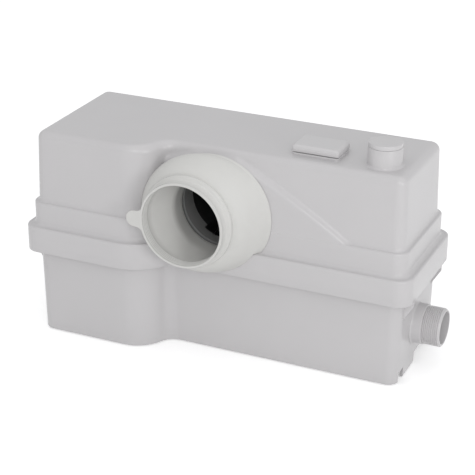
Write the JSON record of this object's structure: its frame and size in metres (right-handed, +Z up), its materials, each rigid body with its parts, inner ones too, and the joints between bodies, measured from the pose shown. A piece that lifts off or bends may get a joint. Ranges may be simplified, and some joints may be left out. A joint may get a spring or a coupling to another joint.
{
  "type": "macerator toilet pump",
  "caption": "Boxy floor unit behind a toilet: rubber sleeve takes the pan's waste, a motor-driven cutter grinds it and a pump lifts it out through the top stub",
  "frame": {"origin": "underside of the middle foot pad, on the floor under the middle of the tank", "axes": "+X along the casing to the side inlet and outlet stub, +Y to the wall behind, +Z up; the pan side faces -Y"},
  "size_m": [0.507, 0.2158, 0.2932],
  "materials": {
    "casing_white": "satin moulded",
    "fitting_white": "satin moulded",
    "sleeve_rubber": "matt moulded rubber",
    "dark_plastic": "matt moulded",
    "black_rubber": "matt",
    "steel": "plain",
    "stainless": "ground",
    "motor_paint": "satin",
    "lamination": "stacked sheet",
    "copper": "enamelled wire",
    "carbon": "open foam",
    "tin_can": "drawn"
  },
  "bodies": {
    "casing": {"tank": "casing_white", "side_spigot": "casing_white", "cover": "casing_white", "outlet_neck": "casing_white", "cover_gasket": "black_rubber", "cover_screws": "steel", "foot_pads": "black_rubber", "inlet_sleeve": "sleeve_rubber", "inlet_chute": "dark_plastic", "vent_grille": "fitting_white", "carbon_filter": "carbon", "outlet_seal": "black_rubber", "side_flap_pin": "steel", "motor_housing": "motor_paint", "motor_end_cap": "motor_paint", "end_cap_screws": "steel", "housing_o_ring": "black_rubber", "stator_core": "lamination", "stator_windings": "copper", "rear_bearing": "steel", "drive_bearing": "steel", "shaft_seal": "black_rubber", "volute": "dark_plastic", "suction_plate": "stainless", "pump_screws": "steel", "grinding_basket": "stainless", "motor_cradle": "steel", "rubber_buffers": "black_rubber", "outlet_hose": "black_rubber", "hose_clips": "steel", "valve_body": "dark_plastic", "valve_lid": "dark_plastic", "valve_pin": "steel", "discharge_pipe": "dark_plastic", "pressure_tube": "fitting_white", "membrane": "black_rubber", "membrane_cap": "fitting_white", "level_switch": "dark_plastic", "terminal_box": "fitting_white", "terminal_lid": "fitting_white", "terminal_block": "fitting_white", "capacitor": "tin_can", "capacitor_clip": "fitting_white", "motor_lead": "black_rubber", "switch_lead": "black_rubber", "cable_gland": "dark_plastic", "gland_nut": "dark_plastic"},
    "rotor": {"shaft": "steel", "rotor_core": "lamination", "impeller": "dark_plastic", "cutter_blades": "stainless", "blade_nut": "steel"},
    "discharge_flap": {"valve_flap": "black_rubber"},
    "inlet_flap": {"side_flap": "dark_plastic"},
    "plunger": {"plunger": "dark_plastic"},
    "lever": {"switch_lever": "steel"},
    "vent": {"vent_cap": "fitting_white"},
    "plug": {"outlet_plug": "fitting_white", "plug_o_ring": "black_rubber"}
  },
  "joints": [
    {"name": "rotor_spin", "type": "hinge", "parent": "casing", "child": "rotor", "pos_m": [-0.088, 0.018, 0.081], "axis": [1, 0, 0], "continuous": true},
    {"name": "discharge_flap_swing", "type": "hinge", "parent": "casing", "child": "discharge_flap", "pos_m": [-0.067, 0.075, 0.1608], "axis": [-1, 0, 0], "range_deg": [0, 70]},
    {"name": "inlet_flap_swing", "type": "hinge", "parent": "casing", "child": "inlet_flap", "pos_m": [0.2172, 0.018, 0.085], "axis": [0, 1, 0], "range_deg": [0, 75]},
    {"name": "plunger_slide", "type": "slide", "parent": "casing", "child": "plunger", "axis": [0, 0, 1], "range_m": [0, 0.0015], "stiffness_N_per_m": 200},
    {"name": "lever_swing", "type": "hinge", "parent": "casing", "child": "lever", "pos_m": [0.087, 0.008, 0.1876], "axis": [0, -1, 0], "range_deg": [0, 6.7]},
    {"name": "vent_cap_lift", "type": "slide", "parent": "casing", "child": "vent", "axis": [0, 0, 1], "range_m": [0, 0.04]},
    {"name": "plug_lift", "type": "slide", "parent": "casing", "child": "plug", "axis": [0, 0, 1], "range_m": [0, 0.04]}
  ],
  "couplings": [
    {"joint": "lever_swing", "follows": "plunger_slide", "rad_per_m": 76.923}
  ]
}
